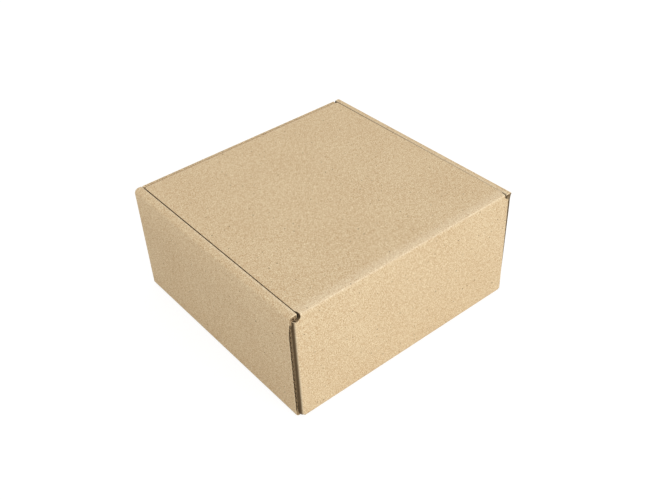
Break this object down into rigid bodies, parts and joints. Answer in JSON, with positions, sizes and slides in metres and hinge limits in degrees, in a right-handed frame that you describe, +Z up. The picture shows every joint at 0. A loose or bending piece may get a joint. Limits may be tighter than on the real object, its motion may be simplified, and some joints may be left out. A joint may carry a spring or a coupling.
{
  "type": "roll-end tuck-front mailer box",
  "caption": "Closed mailer box folded from corrugated board, with rolled end walls and a hinged lid that tucks in behind the front wall.",
  "frame": {"origin": "centre of the underside of the base", "axes": "+X along the lid's hinge crease, +Y towards the back wall that carries the lid, +Z up"},
  "size_m": [0.1604, 0.1532, 0.0732],
  "materials": {
    "kraft_board": "matt brown kraft liner with fine fibre flecks"
  },
  "bodies": {
    "tray": {"tray": "kraft_board"},
    "lid": {"lid": "kraft_board"}
  },
  "joints": [
    {"name": "lid_crease", "type": "hinge", "parent": "tray", "child": "lid", "pos_m": [0, 0.07596, 0.07256], "axis": [-1, 0, 0], "range_deg": [0, 180]}
  ]
}
